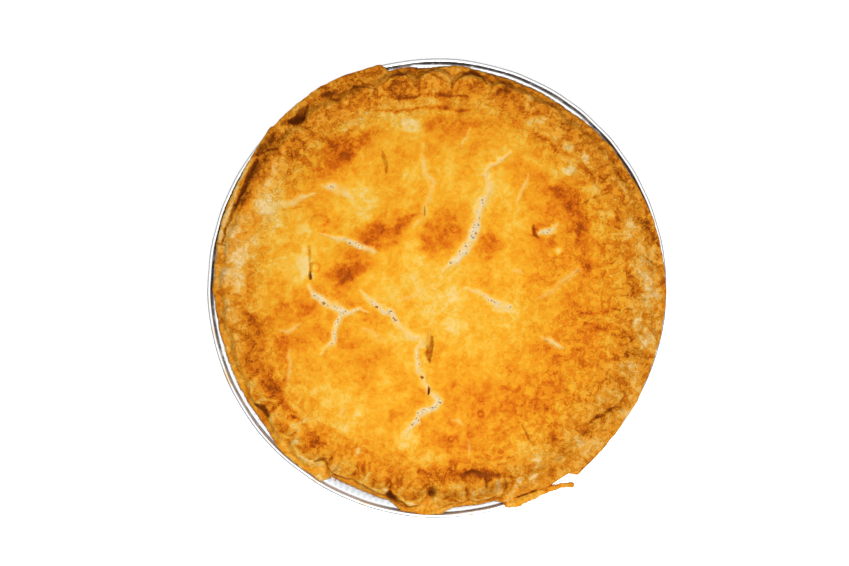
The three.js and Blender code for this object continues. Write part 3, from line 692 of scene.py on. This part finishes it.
def dryness_at(x, y):
    """How far the crust has the dull ochre of its dry edge, from 0 on the lid to 1 at the lip.

    The lower left stays about half golden.
    """
    place = flat_points(x, y)
    reach = np.hypot(x, y) + 3 * noise(place, 8, 41) + 1.5 * noise(place, 3, 42)
    golden = 0.45 * smooth_step(-0.6 * x - 0.8 * y, 70, 98)
    return (0.12 * smooth_step(reach, 62, 80) + 0.88 * smooth_step(reach, 82, 106)) * (1 - golden)


def set_attributes(mesh, **values):
    """Stores one number a vertex under each name, with nought on the points that close a mesh."""
    for name, value in values.items():
        whole = np.zeros(len(mesh.vertices), np.float32)
        whole[: value.size] = value.ravel()
        mesh.attributes.new(name, "FLOAT", "POINT").data.foreach_set("value", whole)


def lid_grid():
    """Places in plan of a square grid drawn out to a disc: squares round the middle become circles."""
    across, up = np.meshgrid(np.linspace(-1, 1, LID_STEPS + 1), np.linspace(-1, 1, LID_STEPS + 1))
    wide = np.abs(across) >= np.abs(up)
    reach = np.where(wide, across, up)
    other = np.where(wide, up, across)
    turn = np.pi / 4 * other / np.where(reach == 0, 1, reach)
    angle = np.where(wide, turn, np.pi / 2 - turn)
    return LID_RADIUS * reach * np.cos(angle), LID_RADIUS * reach * np.sin(angle)


def lid_mesh():
    """The lid's grid as quads, closed beneath by a fan from its border to one point under the middle."""
    x, y = lid_grid()
    dip, crumb, dark, halo = crust_marks(x, y)
    z = lid_height(x, y, dip)
    here = np.arange(x.size).reshape(x.shape)
    quads = np.stack([here[:-1, :-1], here[:-1, 1:], here[1:, 1:], here[1:, :-1]], axis=-1).reshape(-1, 4)
    border = np.concatenate([here[0, :-1], here[:-1, -1], here[-1, :0:-1], here[:0:-1, 0]])
    fan = np.stack([np.roll(border, -1), border, np.full(border.size, x.size)], axis=-1)
    points = np.concatenate([np.stack([x, y, z], axis=-1).reshape(-1, 3), [(0, 0, LID_CORE_HEIGHT)]])
    mesh = smooth_mesh("crust_lid", points, quads.tolist() + fan.tolist())
    bake = bake_at(x, y) - HALO_PALENESS * halo
    set_attributes(mesh, bake=bake, crumb=crumb, dark=dark, dry=dryness_at(x, y), rough=roughness_at(x, y))
    return mesh


def crust_material():
    """Baked shortcrust: golden to brown by how far it is baked, and ochre where it is dry.

    Clouds, flakes, flecks and thin strokes of about 1 to 8 mm move the baking up and down, most where the
    crust is rough, and painted shade and highlight run along the edges of the flakes. Cracks show pale crumb
    with dark specks and a cream border, and vents, creases and hollows are dark brown with painted shade.
    """
    material, shade = new_material("baked_crust")
    place = shade.node("ShaderNodeTexCoord", {}, {}, "Object")
    bake, crumb, dark, dry, rough = (
        shade.node("ShaderNodeAttribute", {"attribute_name": name}, {}, "Fac")
        for name in ("bake", "crumb", "dark", "dry", "rough")
    )
    mottle = shade.cloud(place, 4, 4, 0.6, 0.8)
    grain = shade.cloud(place, 0.8, 3, 0.65)
    plate = shade.cloud(place, 7, 4, 0.6, 0.7).rising(0.46, 0.51)
    sheet = shade.cloud(place, 3, 3, 0.6, 0.5)
    scale = sheet.rising(0.46, 0.52)
    shaded = sheet.band(0.42, 0.47, 0.47, 0.5)
    lit = sheet.band(0.5, 0.53, 0.53, 0.58)
    speck = shade.cloud(place, 1.1, 2).rising(0.56, 0.65) * mottle.rising(0.36, 0.52)

    clouds = (0.36 + 0.06 * rough) * (mottle - 0.5) + (0.25 + 0.1 * rough) * (grain - 0.5)
    flakes = (0.08 + 0.07 * rough) * (plate - 0.5) + (0.05 + 0.11 * rough) * (scale - 0.5)
    fleck = shade.cloud(place, 0.7, 2).rising(0.58, 0.7) * (0.08 + 0.15 * rough)
    # Painted shade and highlight along the edges of the flakes.
    flake_edge_light = 0.08 * rough * (shaded - lit)
    stroke = shade.cloud(place, 5, 2, 0.5, 0.3).band(0.44, 0.5, 0.5, 0.56)
    some_strokes = stroke * shade.cloud(place, 8, 1).rising(0.52, 0.6)
    shown = bake + 0.5 * dark + clouds - flakes - fleck + flake_edge_light + 0.1 * some_strokes
    golden = shown.ramp([
        (0, paint(255, 218, 136)), (0.15, paint(255, 202, 74)), (0.35, paint(255, 180, 40)),
        (0.5, paint(250, 162, 32)), (0.62, paint(243, 143, 24)), (0.75, paint(228, 115, 16)),
        (0.88, paint(205, 95, 12)), (1, paint(170, 76, 10)),
    ])
    ochre = shown.ramp([
        (0, paint(247, 212, 154)), (0.12, paint(244, 199, 118)), (0.3, paint(242, 177, 68)),
        (0.5, paint(236, 153, 34)), (0.75, paint(205, 112, 16)), (1, paint(136, 66, 10)),
    ])
    skin = dry.mix(golden, ochre)
    shadow = grain.rising(0.32, 0.62).mix((0.86, 0.81, 0.74, 1), (1, 1, 1, 1))
    fine = {0: 0.15 + 0.85 * rough, 6: skin, 7: shadow}
    grainy = shade.node("ShaderNodeMix", {"data_type": "RGBA", "blend_type": "MULTIPLY"}, fine, 2)
    pale = grain.rising(0.3, 0.7).mix(paint(242, 216, 164), paint(255, 232, 184))
    floury = (0.4 * scale).mix(pale, paint(222, 200, 168))
    bordered = crumb.rising(0, 0.6).mix(grainy, paint(252, 205, 110))
    cracked = crumb.rising(0.3, 0.95).mix(bordered, floury)
    specked = (0.9 * speck * crumb.rising(0.42, 0.7)).mix(cracked, paint(84, 70, 62))
    # Dark brown from the dark attribute: painted shade in vents, creases, cusps and hollows.
    hollow = dark.mix(specked, paint(80, 31, 5))
    height = (0.5 + 0.7 * rough) * (0.6 * grain + mottle) + rough * (0.5 * plate + 0.4 * scale - 0.3 * shaded)
    shader = shade.node("ShaderNodeBsdfPrincipled", {}, {
        "Base Color": hollow,
        "Roughness": 0.72 - 0.15 * bake + 0.12 * (mottle - 0.5),
        "Specular IOR Level": 0.03,
        "Normal": shade.node("ShaderNodeBump", {}, {"Height": height, "Strength": 0.7, "Distance": 0.0006}),
    })
    shade.node("ShaderNodeOutputMaterial", {}, {"Surface": shader})
    return material


baked_crust = crust_material()
piece("crust_lid", lid_mesh(), baked_crust, "pie")

# Crust edge and base
# The rim where the top and bottom sheets of crust were pressed together and crimped between finger and
# thumb. Its ragged lip lies on the tin's flange and, in places, over the bead. Below it the bottom crust
# and the filling fill the tin.

EDGE_STEPS = 4 * LID_STEPS
LIP_THICKNESS = 3
STEP_RADIUS = 110.6
SEAT_RADIUS = 105.5
SEAT_HEIGHT = 26.7
FLANGE_SLOPE = 0.235
BEAD_CLEAR_HEIGHT = 30.3
BASE_RADIUS = 88.3
BASE_HEIGHT = 0.8
BASE_CORNER_RUN = 2
BASE_CORNER_RISE = 2.2
BASE_CORE_RADIUS = 60
LIP_ROUNDING = 0.8
CRIMP_COUNT = 33
CRIMP_START_DEG = 85.6
CRIMP_DRIFT_DEG = -3
CRIMP_DRIFT_CENTRE_DEG = 267
CRIMP_DRIFT_SPREAD_DEG = 30
CRIMP_ROUNDNESS = 0.8
CREST_RADIUS = 104.5
CREST_REACH = 2.2
CREST_HEIGHT = 38.2
CREST_DIP = 2.2
CREST_MARGIN = 3.4
FOOT_REACH = 3.2
LIP_GAP = 0.4
LIP_CLIMB_RADII = (110.4, 112.4)

# Inner face of the crest: distance inwards from it, share of its height, steps to the next row
INNER_FACE = [(0.8, 0.93, 5), (2.8, 0.48, 5), (5.4, 0.08, 5)]

# Outer edge of the crust: angle from +X in degrees, radius
EDGE_OUTLINE = [
    (0, 114.5), (15, 113.6), (30, 112), (40, 112.1), (50, 111), (60, 110.6), (78, 110.6), (82, 111.5),
    (88, 111.5), (91, 110.1), (94, 110.1), (97, 111.5), (100, 111.5), (102.5, 111), (104, 115.2),
    (115, 116.2), (125, 116), (131, 115.5), (135.2, 115), (136, 116), (139, 115.2), (143.5, 113.8),
    (150, 113), (168, 112.4), (175, 111.5), (180, 112), (188, 110.7), (205, 110.4), (219, 110.2),
    (224, 112.6), (239, 112.6), (241, 107.8), (250, 107.8), (257, 108.8), (261, 113), (271, 113.2),
    (274, 110), (285, 110.4), (288, 113), (305.5, 113.8), (307, 116.8), (315, 115.5), (320, 115.1),
    (340, 114.3), (360, 114.5),
]

# How strongly the crimps show, the crease at their outer foot with its painted shade, the painted shade and
# light that darken the edge at the far side and lighten it at the near side, and how high the crest stands:
# angle in degrees, share
CRIMP_STRENGTH = [
    (0, 0.3), (50, 0.4), (70, 0.75), (100, 0.8), (112, 0.5), (140, 0.4), (150, 0.3), (195, 0.35),
    (212, 0.9), (282, 1), (296, 0.6), (318, 0.5), (335, 0.35), (360, 0.3),
]
CREASE_STRENGTH = [
    (0, 0.1), (55, 0.2), (70, 0.4), (78, 0.2), (102, 0.2), (112, 0.5), (135, 0.4), (140, 0.1), (205, 0.1),
    (262, 0.3), (272, 0.5), (290, 0.4), (320, 0.1), (360, 0.1),
]
EDGE_SHADE = [
    (0, -0.05), (40, 0.13), (60, 0.22), (95, 0.2), (130, 0.21), (142, 0.19), (165, 0.13), (205, 0.01),
    (230, -0.01), (250, -0.01), (300, -0.05), (330, -0.04), (360, -0.05),
]
CREST_SHARE = [
    (0, 0.35), (45, 0.45), (65, 0.85), (103, 0.85), (118, 0.6), (150, 0.5), (195, 0.6), (212, 1),
    (285, 1), (305, 0.55), (325, 0.35), (360, 0.35),
]

# Hollows between crimps, sunk and darkened with painted shade: x, y, half sizes, turn, darkness, and the
# noise of their edges: size, reach
HOLLOWS = [
    (-86.2, -60.6, 1.6, 1, -45, 0.6), (-22.6, -103.9, 4, 1.8, -32, 0.8),
    (-2.4, -101.2, 2.2, 2.4, 0, 0.75), (-11.6, 102.6, 1.2, 2.2, 30, 0.3), (8, 102.6, 1.2, 2.2, -20, 0.3),
]
HOLLOW_RAGGED = [(2.5, 0.8)]


def crimp_phase(angle):
    """Which crimp each angle is in, as a number that rises by one a crimp, unevenly as fingers make them."""
    past_start = (np.degrees(angle) - CRIMP_START_DEG) % 360
    near = bell(past_start + CRIMP_START_DEG, CRIMP_DRIFT_CENTRE_DEG, CRIMP_DRIFT_SPREAD_DEG)
    drifted = past_start - CRIMP_DRIFT_DEG * near
    return drifted / 360 * CRIMP_COUNT + 0.07 * wobble(angle, 6, 40, 57)


def carried_rows(rows):
    """Rows of a section that changes round the pie: straight between the given rows, in their own steps.

    Each given row is a radius and a height at every angle, and the steps to the next row. The corners are
    rounded by averaging each row with its neighbours twice.
    """
    marks = np.cumsum([0] + [row[2] for row in rows[:-1]])
    where = np.arange(marks[-1] + 1)
    after = np.clip(np.searchsorted(marks, where), 1, len(marks) - 1)
    share = ((where - marks[after - 1]) / (marks[after] - marks[after - 1]))[:, None, None]
    given = np.array([row[:2] for row in rows])
    section = given[after - 1] * (1 - share) + given[after] * share
    for _ in range(2):
        section[1:-1] = (section[:-2] + 2 * section[1:-1] + section[2:]) / 4
    return section[:, 0], section[:, 1], marks


def edge_lines(angle):
    """The lines that the edge follows round the pie: radii and heights at every angle.

    The crest swings out and in with the size of a sine, one arch a crimp. The lip lies just over the
    flange, and over the bead where it reaches that far.
    """
    lines = SimpleNamespace(strength=closed_curve(angle, CRIMP_STRENGTH))
    crimp = crimp_phase(angle)
    own = crimp.astype(int) % CRIMP_COUNT
    lines.browning, reach = np.random.default_rng(53).uniform(-1, 1, (2, CRIMP_COUNT))[:, own]
    lines.arch = np.abs(np.sin(np.pi * crimp)) ** CRIMP_ROUNDNESS
    lines.lean = crimp % 1 - 0.5
    bulge = lines.arch * (1 + 0.3 * reach)
    frayed = 0.14 * wobble(angle, 12, 70, 51) + 0.06 * wobble(angle, 70, 200, 52)
    lines.lip_edge = closed_curve(angle, EDGE_OUTLINE) + frayed
    crest = CREST_RADIUS + CREST_REACH * (2 * bulge - 1) * lines.strength + 0.5 * wobble(angle, 10, 50, 54)
    lines.crest = np.minimum(crest, lines.lip_edge - CREST_MARGIN)
    lines.foot = lines.crest + np.minimum(FOOT_REACH, 0.5 * (lines.lip_edge - lines.crest))
    full = GUTTER_HEIGHT + (CREST_HEIGHT - GUTTER_HEIGHT) * closed_curve(angle, CREST_SHARE)
    lines.crest_height = full - CREST_DIP * (1 - bulge) * lines.strength + 0.3 * wobble(angle, 12, 60, 55)
    flange = SEAT_HEIGHT + FLANGE_SLOPE * (lines.lip_edge - SEAT_RADIUS) + LIP_GAP
    lines.under = flange + (BEAD_CLEAR_HEIGHT - flange) * smooth_step(lines.lip_edge, *LIP_CLIMB_RADII)
    lines.lip = lines.under + LIP_THICKNESS + 0.25 * wobble(angle, 15, 70, 56)
    lines.step = np.minimum(lines.lip_edge - 1, STEP_RADIUS)
    lines.step_height = SEAT_HEIGHT + FLANGE_SLOPE * (lines.step - SEAT_RADIUS)
    return lines


def edge_section(angle, lines):
    """The edge's rows from the base up to the lid's border, each a radius and a height at every angle.

    Two shares come with them: how far each row is above the tin, and how far it is also off the lid.
    """
    even = np.ones_like(angle)
    border_x = LID_RADIUS * np.cos(angle)
    border_y = LID_RADIUS * np.sin(angle)
    border_height = lid_height(border_x, border_y, crust_marks(border_x, border_y)[0])
    outer_face = lines.crest_height - lines.lip
    inner_face = lines.crest_height - GUTTER_HEIGHT

    # Radius, height, steps to the next row
    radius, height, marks = carried_rows([
        (BASE_CORE_RADIUS * even, BASE_HEIGHT * even, 2),
        ((BASE_RADIUS - BASE_CORNER_RUN) * even, BASE_HEIGHT * even, 2),
        (BASE_RADIUS * even, (BASE_HEIGHT + BASE_CORNER_RISE) * even, 5),
        (SEAT_RADIUS * even, SEAT_HEIGHT * even, 2),
        (lines.step, lines.step_height, 2),
        (lines.step, lines.under, 2),
        (lines.lip_edge - LIP_ROUNDING, lines.under + 0.1, 3),
        (lines.lip_edge, lines.under + 0.45 * LIP_THICKNESS, 3),
        (lines.lip_edge - LIP_ROUNDING, lines.lip - 0.2, 8),
        (lines.foot, lines.lip + 0.1 * outer_face, 6),
        (0.6 * lines.crest + 0.4 * lines.foot, lines.lip + 0.75 * outer_face, 4),
        (lines.crest, lines.crest_height, 3),
        *(
            (lines.crest - inwards, GUTTER_HEIGHT + share * inner_face, steps)
            for inwards, share, steps in INNER_FACE
        ),
        ((GUTTER_RADIUS + 0.5) * even, (GUTTER_HEIGHT - 0.1) * even, 4),
        (LID_RADIUS * even, border_height, 1),
    ])
    under_lip, over_lip, gutter, border = marks[[6, 8, 14, 16]]
    rows = np.arange(len(radius))[:, None]
    upper = smooth_step(rows, under_lip, over_lip)
    return radius, height, upper, upper * (1 - smooth_step(rows, gutter, border))


def roughened(angle, radius, height, open_air):
    """The rows moved along the section's normal by noise and flaky ledges, most where the edge is rough."""
    run = np.gradient(radius, axis=0)
    rise = np.gradient(height, axis=0)
    length = np.maximum(np.hypot(run, rise), 1e-6)
    x = radius * np.cos(angle)
    y = radius * np.sin(angle)
    place = np.stack([x, y, height], axis=-1)
    ledge = 3 * noise(place, 7, 61) + 1.2 * noise(place, 2.6, 62)
    ledge = (np.floor(ledge) + smooth_step(ledge % 1, 0.65, 1)) / 3
    bumps = 0.3 * noise(place, 5, 63) + 0.28 * noise(place, 2.4, 64) + 0.22 * noise(place, 1.2, 65)
    shift = open_air**2 * (bumps + 0.4 * ledge) * roughness_at(x, y)
    return radius + shift * rise / length, height - shift * run / length


def edge_mesh():
    """The edge's rings from the base up to the lid's border, with their colours.

    Each crimp is browned in its pocket and pale on its walls and rim. Painted shade darkens one side of it
    and painted light lightens the other, and painted shade darkens the cusp where it meets the next. A crease
    runs along its outer foot with painted shade in it, a few deep hollows are sunk and darkened with painted
    shade, and painted shade and light darken the edge at the far side and lighten it at the near side.
    """
    angle = 2 * np.pi * np.arange(EDGE_STEPS) / EDGE_STEPS
    lines = edge_lines(angle)
    radius, height, upper, open_air = edge_section(angle, lines)
    radius, height = roughened(angle, radius, height, open_air)
    x = radius * np.cos(angle)
    y = radius * np.sin(angle)
    place = np.stack([x, y, height], axis=-1)

    inside = radius - lines.crest + 0.7 * noise(place, 2.2, 70)
    arch = np.clip(lines.arch + 0.12 * noise(place, 1.8, 60), 0, 1)
    shown = lines.strength * open_air
    pocket = smooth_step(bell(inside, -3, 3) * arch**2, 0.2, 0.9) * (0.12 + 0.18 * lines.browning)
    wall = smooth_step(bell(inside, -1.6, 3) * bell(arch, 0.5, 0.3), 0.2, 0.9)
    rim = smooth_step(bell(inside, 0.2, 1) * arch, 0.3, 0.8)
    # Painted shade in the cusp where each crimp meets the next.
    cusp = smooth_step(bell(inside, -1.8, 2.4) * (1 - arch) ** 2, 0.25, 0.55)
    # Painted shade along the crease at the outer foot, which is also sunk a little.
    crease = bell(radius, lines.foot, 0.8) * closed_curve(angle, CREASE_STRENGTH) * open_air
    crease = crease * np.clip(0.65 + 0.9 * noise(place, 6, 75), 0, 1.2)
    fleck = noise(place, 4, 66) + 0.8 * noise(place, 1.8, 67)
    # Painted shade on one side of each crimp and painted light on the other.
    lean = lines.lean * smooth_step(bell(inside, -2, 4), 0.2, 0.8)
    # Painted shade in the deep hollows, which are also sunk.
    hollow = np.zeros_like(x)
    ragged_x, ragged_y = ragged(place, HOLLOW_RAGGED, 68)
    for hx, hy, wide, long, turn, darkness in HOLLOWS:
        hollow = np.maximum(hollow, darkness * spot(ragged_x, ragged_y, (hx, hy), (wide, long), turn))

    dip, crumb, dark, halo = crust_marks(x, y)
    # Painted shade and light round the edge: darker at the far side, paler at the near side.
    bake = bake_at(x, y) - HALO_PALENESS * halo + open_air * (closed_curve(angle, EDGE_SHADE) + 0.07 * fleck)
    bake = bake + shown * (pocket - 0.2 * wall - 0.06 * rim + 0.16 * cusp + 0.22 * lean) + 0.2 * crease
    dark = np.max([dark * upper, hollow * open_air, 0.3 * crease, 0.1 * cusp * shown], axis=0)
    height = height + (blisters_at(x, y)[0] - 0.6 * dip - 2 * hollow) * open_air - 0.5 * crease

    rings = np.stack([x, y, height], axis=-1)
    mesh = ring_mesh("crust_edge", rings, (0, 0, BASE_HEIGHT), (0, 0, LID_CORE_HEIGHT - 2))
    dry = np.maximum(dryness_at(x, y), 1 - upper)
    set_attributes(mesh, bake=bake, crumb=crumb * upper, dark=dark, dry=dry, rough=roughness_at(x, y))
    return mesh


piece("crust_edge", edge_mesh(), baked_crust, "pie")

# Torn strip
# A strip of the lip that tore loose as the edge was trimmed and baked where it lay, across the bead at
# the lower right.

STRIP_HALF_THICKNESS = 1.2
STRIP_ALONG = 90
STRIP_AROUND = 28
STRIP_END_SHARE = 0.04

# Middle of the strip from left to right: x, y, height, half width
STRIP_PATH = [
    (33.4, -108, 32, 1.5), (37.5, -107.6, 32.2, 2), (41.8, -106, 32.1, 2), (46, -104.2, 32, 1.7),
    (49.5, -102.7, 31.9, 1.4), (55.1, -100.3, 31.8, 1.4), (62.2, -98.5, 31.8, 1.2),
    (68.6, -98.2, 31.8, 1.5),
]


def strip_mesh():
    """Oval sections carried along the strip's path, drawn in at both ends and roughened by noise.

    The left end and a stretch towards the right end are browned.
    """
    path = np.array(STRIP_PATH)
    marks = np.linspace(0, 1, len(path))
    along = np.linspace(0, 1, STRIP_ALONG)
    x, y, z, half_width = (np.interp(along, marks, column) for column in path.T)
    run = np.gradient(x)
    rise = np.gradient(y)
    length = np.hypot(run, rise)
    turn = 2 * np.pi * np.arange(STRIP_AROUND) / STRIP_AROUND
    end = np.minimum(1, np.minimum(along, 1 - along) / STRIP_END_SHARE) ** 0.5 + 0.05
    side = np.outer(half_width * end, np.cos(turn))[..., None]
    lift = np.outer(STRIP_HALF_THICKNESS * end, np.sin(turn))[..., None]
    sideways = np.stack([-rise / length, run / length, np.zeros_like(x)], axis=-1)[:, None]
    middle = np.stack([x, y, z], axis=-1)[:, None]
    section = side * sideways + lift * (0, 0, 1)
    place = middle + section
    rough = 1 + 0.34 * noise(place, 3, 71) + 0.26 * noise(place, 1.3, 72)
    rings = middle + section * rough[..., None]
    mesh = ring_mesh("torn_strip", rings, middle[0, 0], middle[-1, 0])
    scorched = 0.4 * (1 - smooth_step(along, 0.02, 0.1)) + 0.2 * bell(along, 0.72, 0.1)
    bake = 0.46 + 0.14 * noise(rings, 4, 73) + 0.1 * noise(rings, 1.6, 74) + scorched[:, None]
    set_attributes(mesh, bake=bake, dry=np.full(bake.shape, 0.5), rough=np.full(bake.shape, 0.6))
    return mesh


piece("torn_strip", strip_mesh(), baked_crust, "pie")

# Floor, light and camera
# A plain white table under a soft studio light from the near side, with light all round from above. The
# camera looks straight down, as the photograph does.

FLOOR_SIZE = 3.0
KEY_AZIMUTH_DEG = -65
KEY_ELEVATION_DEG = 65
KEY_DISTANCE = 1.5
KEY_SIZE = 0.7
KEY_POWER = 11
CAMERA_LENS_MM = 85
CAMERA_PLACE = (-0.00625, 0.0025, 1.032)


def floor_material():
    """White card that glows a little where it is seen directly, so that it stays white beside the tin."""
    material, shade = new_material("white_card")
    place = shade.node("ShaderNodeTexCoord", {}, {}, "Object")
    direct = shade.node("ShaderNodeLightPath", {}, {}, "Is Camera Ray")
    shader = shade.node("ShaderNodeBsdfPrincipled", {}, {
        "Base Color": shade.cloud(place, 30, 2).mix(paint(238, 238, 238), paint(244, 244, 244)),
        "Roughness": 0.9,
        "Specular IOR Level": 0.1,
        "Emission Color": direct.mix((0, 0, 0, 1), (1, 1, 1, 1)),
        "Emission Strength": 0.62,
    })
    shade.node("ShaderNodeOutputMaterial", {}, {"Surface": shader})
    return material


half = FLOOR_SIZE / 2
floor_mesh = bpy.data.meshes.new("floor")
corners = [(-half, -half, 0), (half, -half, 0), (half, half, 0), (-half, half, 0)]
floor_mesh.from_pydata(corners, [], [(0, 1, 2, 3)])
floor_mesh.materials.append(floor_material())
floor = bpy.data.objects.new("floor", floor_mesh)
bpy.context.scene.collection.objects.link(floor)

key_light = bpy.data.lights.new("key", "AREA")
key_light.energy = KEY_POWER
key_light.size = KEY_SIZE
key = bpy.data.objects.new("key", key_light)
azimuth, elevation = np.radians([KEY_AZIMUTH_DEG, KEY_ELEVATION_DEG])
level = KEY_DISTANCE * np.cos(elevation)
key.location = (level * np.cos(azimuth), level * np.sin(azimuth), KEY_DISTANCE * np.sin(elevation))
key.rotation_euler = (np.pi / 2 - elevation, 0, azimuth + np.pi / 2)
bpy.context.scene.collection.objects.link(key)

world = bpy.data.worlds.new("studio")
world.use_nodes = True
world.node_tree.nodes.clear()
sky = Shade(world.node_tree)
upward = sky.node("ShaderNodeSeparateXYZ", {}, {0: sky.node("ShaderNodeTexCoord", {}, {}, "Generated")}, "Z")
seen = sky.node("ShaderNodeLightPath", {}, {}, "Is Camera Ray")
glow = upward.rising(0, 0.6).mix((0.12, 0.12, 0.12, 1), (0.34, 0.34, 0.34, 1))
ceiling = upward.rising(0.7, 0.88).mix(glow, (0.95, 0.95, 0.95, 1))
overhead = upward.rising(0.93, 0.99).mix(ceiling, (1.25, 1.25, 1.25, 1))
light = sky.node("ShaderNodeBackground", {}, {"Color": seen.mix(overhead, (1, 1, 1, 1))})
sky.node("ShaderNodeOutputWorld", {}, {"Surface": light})
bpy.context.scene.world = world

lens = bpy.data.cameras.new("camera")
lens.lens = CAMERA_LENS_MM
camera = bpy.data.objects.new("camera", lens)
camera.location = CAMERA_PLACE
bpy.context.scene.collection.objects.link(camera)
bpy.context.scene.camera = camera
bpy.context.scene.view_settings.view_transform = "Standard"
